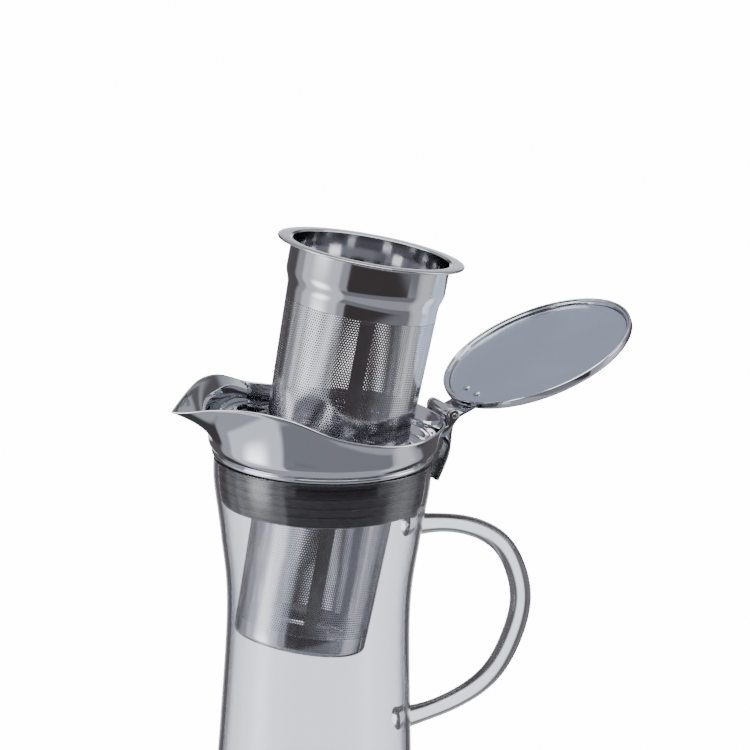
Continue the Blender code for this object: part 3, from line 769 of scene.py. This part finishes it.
class JUG_OT_seal(Operator):
    """Silicone plug ring with rounded ribs that grips the glass neck"""

    bl_idname = "jug.seal"
    bl_label = "Neck seal"

    def execute(self, context):
        collar, jug = context.scene.collar_sizes, context.scene.jug_sizes
        top = bead_z(collar) - collar.bead_h / 2 - GAP
        low = top - collar.seal_h
        pocket = collar.pocket + collar.sleeve + GAP
        bore = collar.throat + collar.sleeve + GAP
        step = bead_z(collar) - collar.seat_drop - collar.sleeve - GAP
        pitch = collar.seal_h / collar.seal_ribs
        corners = []
        for k in range(collar.seal_ribs):
            for share, proud in ((0.02, 0.0), (0.66, 0.0), (0.74, collar.rib), (0.94, collar.rib)):
                z = top - (k + share) * pitch
                corners.append((glass_radius(jug, z) - jug.wall - GAP - proud, z, 0.0004))
        edge = glass_radius(jug, low) - jug.wall - GAP
        corners += [(edge - 0.0006, low, 0.0006), (bore, low, 0.0002), (bore, step, 0.0001)]
        corners += [(pocket, step, 0.0002), (pocket, top, 0.0002)]
        turned = lathed(filleted(corners, 4), LATHE_GLASS)
        add_piece("seal_ring", turned, silicone_material(), "collar", "neck_seal")
        return {"FINISHED"}


class JUG_OT_hinge(Operator):
    """Bracket of two lugs on a bar at the back of the collar, and the lid's pin"""

    bl_idname = "jug.hinge"
    bl_label = "Hinge bracket and pin"

    def execute(self, context):
        lid, collar = context.scene.lid_sizes, context.scene.collar_sizes
        inside = lid.strap / 2 + GAP
        outside = inside + lid.lug
        foot = bead_z(collar) + BRACKET_UP
        weld = collar_radius(collar, math.pi, foot + 0.0030 - bead_z(collar)) + 0.00005
        eye = arc(HINGE.x, HINGE.z, lid.knuckle - 0.0002, 180, -45, 24)
        side = [(weld, foot), (weld, foot + 0.0030), (eye[0][0], HINGE.z - 0.0040)] + eye
        side += [(weld + 0.0024, foot)]
        bm = bmesh.new()
        for low, high in ((-outside, -inside), (inside, outside)):
            join_into(bm, slab(side, low, high, 0.00025))
        bar = [(weld, foot + 0.0001), (weld, foot + 0.0021), (weld + 0.0019, foot + 0.0021)]
        bar += [(weld + 0.0024, foot + 0.0001)]
        join_into(bm, slab(bar, -inside + 0.00005, inside - 0.00005, 0.0002))
        add_piece("hinge_lugs", bm, metal("Polished chrome"), "collar", "hinge_bracket")
        half = outside + 0.0006
        corners = [(0, half, 0), (lid.pin, half, 0.0005), (lid.pin, -half, 0.0005), (0, -half, 0)]
        pin = lathed(filleted(corners, 5), LATHE_SMALL)
        turn = Matrix.Translation(HINGE) @ Matrix.Rotation(math.pi / 2, 4, "X")
        add_piece("pin_rod", pin, metal("Satin steel"), "collar", "hinge_pin", turn)
        return {"FINISHED"}


def join_into(bm, other):
    """Adds another bmesh to bm and frees it."""
    mesh = bpy.data.meshes.new("part")
    other.to_mesh(mesh)
    other.free()
    bm.from_mesh(mesh)
    bpy.data.meshes.remove(mesh)


class JUG_OT_lid(Operator):
    """Lid cap with its double rim, the plate inside it, and the rivets"""

    bl_idname = "jug.lid"
    bl_label = "Lid"

    def execute(self, context):
        sizes = context.scene.lid_sizes
        rim, wall = sizes.radius, sizes.wall
        low = -sizes.skirt / 2 - CAP_SINK
        top = low + sizes.skirt
        under = low + sizes.recess
        ledge = rim - 0.0023  # the inner edge of the cap's rolled rim
        corners = [
            (0, top, 0),
            (rim - 0.0016, top, 0.0030),
            (rim, top - 0.0014, 0.0016),
            (rim, low + 0.0004, 0.0005),
            (rim - 0.0004, low, 0.0004),
            (rim - 0.0010, low, 0.0004),
            (rim - 0.0012, low + 0.0009, 0.0003),
            (rim - 0.0020, low + 0.0010, 0.0004),
            (ledge, under, 0.0004),
            (rim - 0.0016, top - wall, 0.0003),
            (0, top - wall, 0),
        ]
        place = lid_place() @ Matrix.Translation((-sizes.arm, 0, 0))
        turned = lathed(filleted(corners, 6), LATHE_LID)
        add_piece("lid_shell", turned, metal("Polished chrome"), "lid", "lid_cap", place)
        plate_r = ledge - 0.0001
        corners = [
            (0, top - wall - GAP, 0),
            (plate_r - 0.0004, top - wall - GAP, 0.0002),
            (plate_r, under + 0.0001, 0.0002),
            (plate_r - 0.0005, under, 0.0004),
            (plate_r - 0.0012, under + 0.0001, 0.0006),
            (0, under + 0.0001, 0),
        ]
        turned = lathed(filleted(corners, 5), LATHE_LID)
        add_piece("lid_plate", turned, metal("Lid plate steel"), "lid", "lid_underplate", place)
        for side, name in ((1, "left"), (-1, "right")):
            high = top + GAP + sizes.strap_t
            head, shank = sizes.rivet, sizes.rivet - 0.0007
            corners = [
                (0, high + 0.0007, 0),
                (0.55 * head, high + 0.0006, 0.0008),
                (head, high, 0.0003),
                (shank, high, 0),
                (shank, under, 0),
                (head, under, 0.0003),
                (0.55 * head, under - 0.0006, 0.0008),
                (0, under - 0.0007, 0),
            ]
            spot = Matrix.Translation((-sizes.rivet_in, side * sizes.rivet_apart / 2, 0))
            turned, steel = lathed(filleted(corners, 4), LATHE_SMALL), metal("Satin steel")
            place = lid_place() @ spot
            add_piece("rivet_" + name, turned, steel, "lid", "lid_rivet_" + name, place)
        return {"FINISHED"}


class JUG_OT_lid_arm(Operator):
    """Bent strip: strap over the cap, curl round the pin, and thumb lever"""

    bl_idname = "jug.lid_arm"
    bl_label = "Lid arm and lever"

    def execute(self, context):
        sizes = context.scene.lid_sizes
        t = sizes.strap_t
        rest = -sizes.skirt / 2 - CAP_SINK + sizes.skirt + GAP
        inner = -sizes.rivet_in - 0.0055
        curl_r = sizes.knuckle
        back = LID_OPEN - math.pi / 2
        tip = Vector((math.sin(back) * 0.62 * sizes.lever, 0.80 * sizes.lever))
        outer = smooth(
            [
                (-curl_r * 0.75 - 0.0010, rest + t),
                (0.0004, curl_r + 0.0016),
                (0.16 * tip.x, 0.30 * tip.y),
                (0.46 * tip.x, 0.66 * tip.y),
                (tip.x - 0.0006, tip.y),
            ],
            28,
        )
        facing = smooth(
            [
                (tip.x + 0.0006, tip.y - 0.0008),
                (0.46 * tip.x + t, 0.66 * tip.y - 0.0006),
                (0.16 * tip.x + 1.1 * t, 0.30 * tip.y - 0.0003),
                arc(0, 0, curl_r, 35, 35, 2)[0],
            ],
            24,
        )[:-1]
        outline = [(inner, rest), (inner, rest + t)] + [tuple(p) for p in outer]
        outline += [tuple(p) for p in facing] + arc(0, 0, curl_r, 35, -180, 26)
        outline += [(-curl_r - 0.0006, rest)]
        bm = slab(outline, -sizes.strap / 2, sizes.strap / 2, 0.0003)
        add_piece("lid_lever", bm, metal("Polished chrome"), "lid", "lid_arm", lid_place())
        return {"FINISHED"}


class JUG_OT_infuser(Operator):
    """Infuser: spun rim and cup, etched sleeve, seam strip and base cup"""

    bl_idname = "jug.infuser"
    bl_label = "Infuser"

    def execute(self, context):
        sizes = context.scene.infuser_sizes
        place = infuser_place(context.scene.collar_sizes, sizes)
        w = sizes.wall
        band_end = sizes.cup_h + sizes.step_h + sizes.band
        sleeve_end = sizes.length - sizes.base_band
        cup, body = sizes.cup, sizes.body
        band_r, low_r = body_radius(sizes, band_end), body_radius(sizes, sleeve_end)
        corners = [
            (cup + 0.0004, 0, 0.0012),
            (sizes.rim, 0, 0.00045),
            (sizes.rim, -sizes.rim_t, 0.00045),
            (cup, -sizes.rim_t, 0.0013),
            (cup, -sizes.cup_h, 0.0100),
            (body, -sizes.cup_h - sizes.step_h, 0.0100),
            (band_r, -band_end, 0.0001),
            (band_r - w, -band_end, 0.0001),
            (body - w, -sizes.cup_h - sizes.step_h - 0.0002, 0.0012),
            (cup - w, -sizes.cup_h + 0.0002, 0.0018),
            (cup - w, -0.0005, 0.0001),
        ]
        turned = lathed(filleted(corners, 7), LATHE_INFUSER)
        add_piece("infuser_cup", turned, metal("Drawn steel"), "infuser", "infuser_rim", place)
        wall = sizes.mesh_wall
        rows = 24
        outer = []
        for k in range(rows + 1):
            drop = band_end + (sleeve_end - band_end) * k / rows
            outer.append((body_radius(sizes, drop), -drop))
        inner = [(r - wall, z) for r, z in outer]
        sleeve = lathed(outer + inner[::-1], LATHE_INFUSER)
        for face in sleeve.faces:  # the inner face gets a darker copy of the finish: painted shade for the shadowed inside of the sleeve
            spot = face.calc_center_median()
            if math.hypot(spot.x, spot.y) < body_radius(sizes, -spot.z) - 0.7 * wall:
                face.material_index = 1
        etched = etched_material(sizes, "Etched sheet")
        piece = add_piece(
            "infuser_sleeve", sleeve, etched, "infuser", "infuser_mesh_sleeve", place
        )
        # the inner face takes the darker copy, painted shade for the sleeve's shadowed inside
        piece.data.materials.append(etched_material(sizes, "Etched sheet inside"))
        corners = [
            (0, -sizes.length, 0),
            (sizes.body_low, -sizes.length, 0.0024),
            (low_r, -sleeve_end, 0.0001),
            (low_r - w, -sleeve_end, 0.0001),
            (sizes.body_low - w, -sizes.length + w, 0.0019),
            (0, -sizes.length + w, 0),
        ]
        turned, steel = lathed(filleted(corners, 7), LATHE_INFUSER), metal("Drawn steel")
        add_piece("infuser_foot", turned, steel, "infuser", "infuser_base_cup", place)
        self.seam(sizes, place, band_end, sleeve_end)
        return {"FINISHED"}

    @staticmethod
    def seam(sizes, place, band_end, sleeve_end):
        """The plain strip that backs the rolled seam, curved like the sleeve."""
        bm = bmesh.new()
        columns, rows = 12, 20
        rings = []
        for j in range(rows + 1):
            drop = band_end + 0.0010 + (sleeve_end - band_end - 0.0020) * j / rows
            outer = body_radius(sizes, drop) + sizes.mesh_wall
            half = sizes.seam / 2 / outer
            turns = [sizes.seam_turn + half * (2 * k / columns - 1) for k in range(columns + 1)]
            points = [(outer * math.cos(a), outer * math.sin(a), -drop) for a in turns]
            thin = outer - 0.8 * sizes.mesh_wall
            points += [(thin * math.cos(a), thin * math.sin(a), -drop) for a in reversed(turns)]
            rings.append([bm.verts.new(p) for p in points])
        for one, other in zip(rings, rings[1:]):
            bridge(bm, one, other)
        bm.faces.new(rings[0])
        bm.faces.new(rings[-1])
        add_piece("infuser_seam", bm, metal("Satin steel"), "infuser", "infuser_seam_strip", place)


# ---- stage -------------------------------------------------------------------------------------------
CAMERA_AZIMUTH = -24.54
CAMERA_ELEVATION = 16.19
CAMERA_DISTANCE = 1.9717
CAMERA_LENS = 232.8
CAMERA_ROLL = math.radians(1.75)
CAMERA_AIM = Vector((0.0220, -0.0008, 0.0302))  # the point looked at, from the bead's centre
FLOOR_RADIUS = 14.0
FLOOR_DOWN = 0.0002
BACKDROP_WHITE = 14.0  # what the camera sees of the floor and the backdrop
THROUGH_HOLES = 0.8  # the same, seen through the etched holes
STUDIO_GREY = (0.50, 0.52, 0.57)
# degrees to the right of the camera, elevation, half width, half height, softness, light
PANELS = [
    (-148, -15, 26, 32, 5, (0.13, 0.12, 0.13)),
    (146, -23, 24, 24, 5, (0.13, 0.12, 0.13)),
    (180, -50, 62, 16, 4, (0.07, 0.065, 0.07)),
    (180, 12, 50, 7, 4, (0.16, 0.15, 0.16)),
    (180, -14, 13, 19, 5, (1.65, 1.68, 1.88)),
    (17, -27.5, 60, 9.5, 2, (0.27, 0.28, 0.31)),
    (17, -1, 45, 17.5, 2, (0.075, 0.065, 0.068)),
    (-72, -24, 32, 24, 3, (1.05, 1.10, 1.22)),
    (-71, -16, 11, 10, 9, (5.0, 5.0, 5.1)),
    (95, -15, 14, 40, 8, (0.95, 0.98, 1.04)),
]
# name, degrees to the right of the camera, elevation, distance, width, height, power
LIGHTS = [
    ("Key", -72, 30, 1.4, 0.8, 0.8, 9),
    ("Fill", 95, 25, 1.6, 0.7, 1.2, 7),
    ("Top", 10, 80, 1.5, 1.3, 1.3, 17),
    ("Back", 175, 58, 1.8, 1.6, 0.8, 6),
]


def backdrop_glow(tree):
    """How white the backdrop is: full behind the object, softer through the etched holes, else none."""
    path = node(tree, "ShaderNodeLightPath").outputs
    white = ranged(tree, path["Transparent Depth"], to_low=BACKDROP_WHITE, to_high=THROUGH_HOLES)
    return maths(tree, "MULTIPLY", path["Is Camera Ray"], white)


def direction(azimuth, elevation):
    """The direction at an azimuth from -Y and an elevation, both in degrees."""
    a, e = math.radians(azimuth), math.radians(elevation)
    return Vector((math.sin(a) * math.cos(e), -math.cos(a) * math.cos(e), math.sin(e)))


class JUG_OT_stage(Operator):
    """Pale floor, studio world, soft lights and the camera"""

    bl_idname = "jug.stage"
    bl_label = "Stage"

    def execute(self, context):
        self.floor(context)
        self.world(context)
        self.lights(context)
        self.camera(context)
        return {"FINISHED"}

    @staticmethod
    def floor(context):
        bm = bmesh.new()
        bmesh.ops.create_circle(bm, cap_ends=True, segments=96, radius=FLOOR_RADIUS)
        mesh = bpy.data.meshes.new("stage_floor")
        bm.to_mesh(mesh)
        bm.free()
        made, tree, shader = new_material("Pale floor")
        give(tree, shader, {"Base Color": (*context.scene.jug_finishes.floor, 1), "Roughness": 0.6})
        glow = node(tree, "ShaderNodeEmission", {"Color": (1, 1, 1, 1), "Strength": backdrop_glow(tree)})
        both = node(tree, "ShaderNodeAddShader", {0: shader.outputs["BSDF"], 1: glow.outputs["Emission"]})
        show(tree, both.outputs["Shader"])
        mesh.materials.append(made)
        floor = bpy.data.objects.new("stage_floor", mesh)
        context.collection.objects.link(floor)
        floor.location.z = -FLOOR_DOWN
        floor.visible_glossy = False  # metal and glass show the studio's panels, also below the horizon
        floor.visible_transmission = False

    @staticmethod
    def world(context):
        """Grey studio round the object, with soft panels of light and dark that the metal mirrors."""
        world = bpy.data.worlds.new("Studio")
        context.scene.world = world
        world.use_nodes = True
        tree = world.node_tree
        where = node(tree, "ShaderNodeTexCoord").outputs["Generated"]
        split = node(tree, "ShaderNodeSeparateXYZ", {"Vector": where}).outputs
        heading = maths(tree, "ARCTAN2", split["X"], maths(tree, "MULTIPLY", split["Y"], -1.0))
        rise = maths(tree, "ARCSINE", split["Z"])
        shade = (*STUDIO_GREY, 1)
        for turn, lift, half_wide, half_high, soft, tint in PANELS:
            inside = []
            spans = ((heading, CAMERA_AZIMUTH + turn, half_wide), (rise, lift, half_high))
            for angle, middle, half in spans:
                away = maths(tree, "SUBTRACT", angle, math.radians(middle))
                away = maths(tree, "ABSOLUTE", maths(tree, "WRAP", away, math.pi, -math.pi))
                outer, inner = math.radians(half + soft), math.radians(half - soft)
                inside.append(ranged(tree, away, outer, inner, interpolation_type="SMOOTHSTEP"))
            shade = mixed(tree, maths(tree, "MULTIPLY", *inside), shade, (*tint, 1))
        seen = node(tree, "ShaderNodeLightPath").outputs["Is Camera Ray"]
        give(tree, tree.nodes["Background"], {"Color": mixed(tree, seen, shade, backdrop_glow(tree))})

    @staticmethod
    def lights(context):
        for name, turn, lift, away, width, height, power in LIGHTS:
            data = bpy.data.lights.new(name, "AREA")
            data.shape = "RECTANGLE"
            data.size, data.size_y, data.energy = width, height, power
            lamp = bpy.data.objects.new(name, data)
            context.collection.objects.link(lamp)
            out = direction(CAMERA_AZIMUTH + turn, lift)
            lamp.location = Vector((0, 0, LIP_Z)) + away * out
            lamp.rotation_mode = "QUATERNION"
            lamp.rotation_quaternion = (-out).to_track_quat("-Z", "Y")
            lamp.visible_camera = False

    @staticmethod
    def camera(context):
        bead = Vector((0, 0, bead_z(context.scene.collar_sizes)))
        data = bpy.data.cameras.new("Camera")
        data.lens = CAMERA_LENS
        camera = bpy.data.objects.new("Camera", data)
        context.collection.objects.link(camera)
        camera.location = bead + CAMERA_DISTANCE * direction(CAMERA_AZIMUTH, CAMERA_ELEVATION)
        look = bead + CAMERA_AIM - camera.location
        camera.rotation_mode = "QUATERNION"
        roll = Matrix.Rotation(CAMERA_ROLL, 4, "Z").to_quaternion()
        camera.rotation_quaternion = look.to_track_quat("-Z", "Y") @ roll
        context.scene.camera = camera


# ---- panel and start ---------------------------------------------------------------------------------
class JUG_PT_panel(Panel):
    bl_label = "Infuser jug"
    bl_idname = "JUG_PT_panel"
    bl_space_type = "VIEW_3D"
    bl_region_type = "UI"
    bl_category = "Infuser jug"

    def draw(self, context):
        for name in GROUPS:
            group = getattr(context.scene, name)
            column = self.layout.column()
            for key in group.bl_rna.properties.keys():
                if key not in ("rna_type", "name"):
                    column.prop(group, key)
        for step in STEPS:
            self.layout.operator(step.bl_idname)


GROUPS = {
    "jug_sizes": JugSizes,
    "collar_sizes": CollarSizes,
    "lid_sizes": LidSizes,
    "infuser_sizes": InfuserSizes,
    "jug_finishes": Finishes,
}
STEPS = [
    JUG_OT_glass,
    JUG_OT_handle,
    JUG_OT_collar,
    JUG_OT_throat,
    JUG_OT_seal,
    JUG_OT_hinge,
    JUG_OT_lid,
    JUG_OT_lid_arm,
    JUG_OT_infuser,
    JUG_OT_stage,
]


def register():
    for cls in [*GROUPS.values(), *STEPS, JUG_PT_panel]:
        bpy.utils.register_class(cls)
    for name, cls in GROUPS.items():
        setattr(bpy.types.Scene, name, PointerProperty(type=cls))


def unregister():
    for name in GROUPS:
        delattr(bpy.types.Scene, name)
    for cls in [JUG_PT_panel, *reversed(STEPS), *reversed(GROUPS.values())]:
        bpy.utils.unregister_class(cls)


def main():
    register()
    bpy.ops.jug.glass()
    bpy.ops.jug.handle()
    bpy.ops.jug.collar()
    bpy.ops.jug.throat()
    bpy.ops.jug.seal()
    bpy.ops.jug.hinge()
    bpy.ops.jug.lid()
    bpy.ops.jug.lid_arm()
    bpy.ops.jug.infuser()
    bpy.ops.jug.stage()


if __name__ == "__main__":
    main()
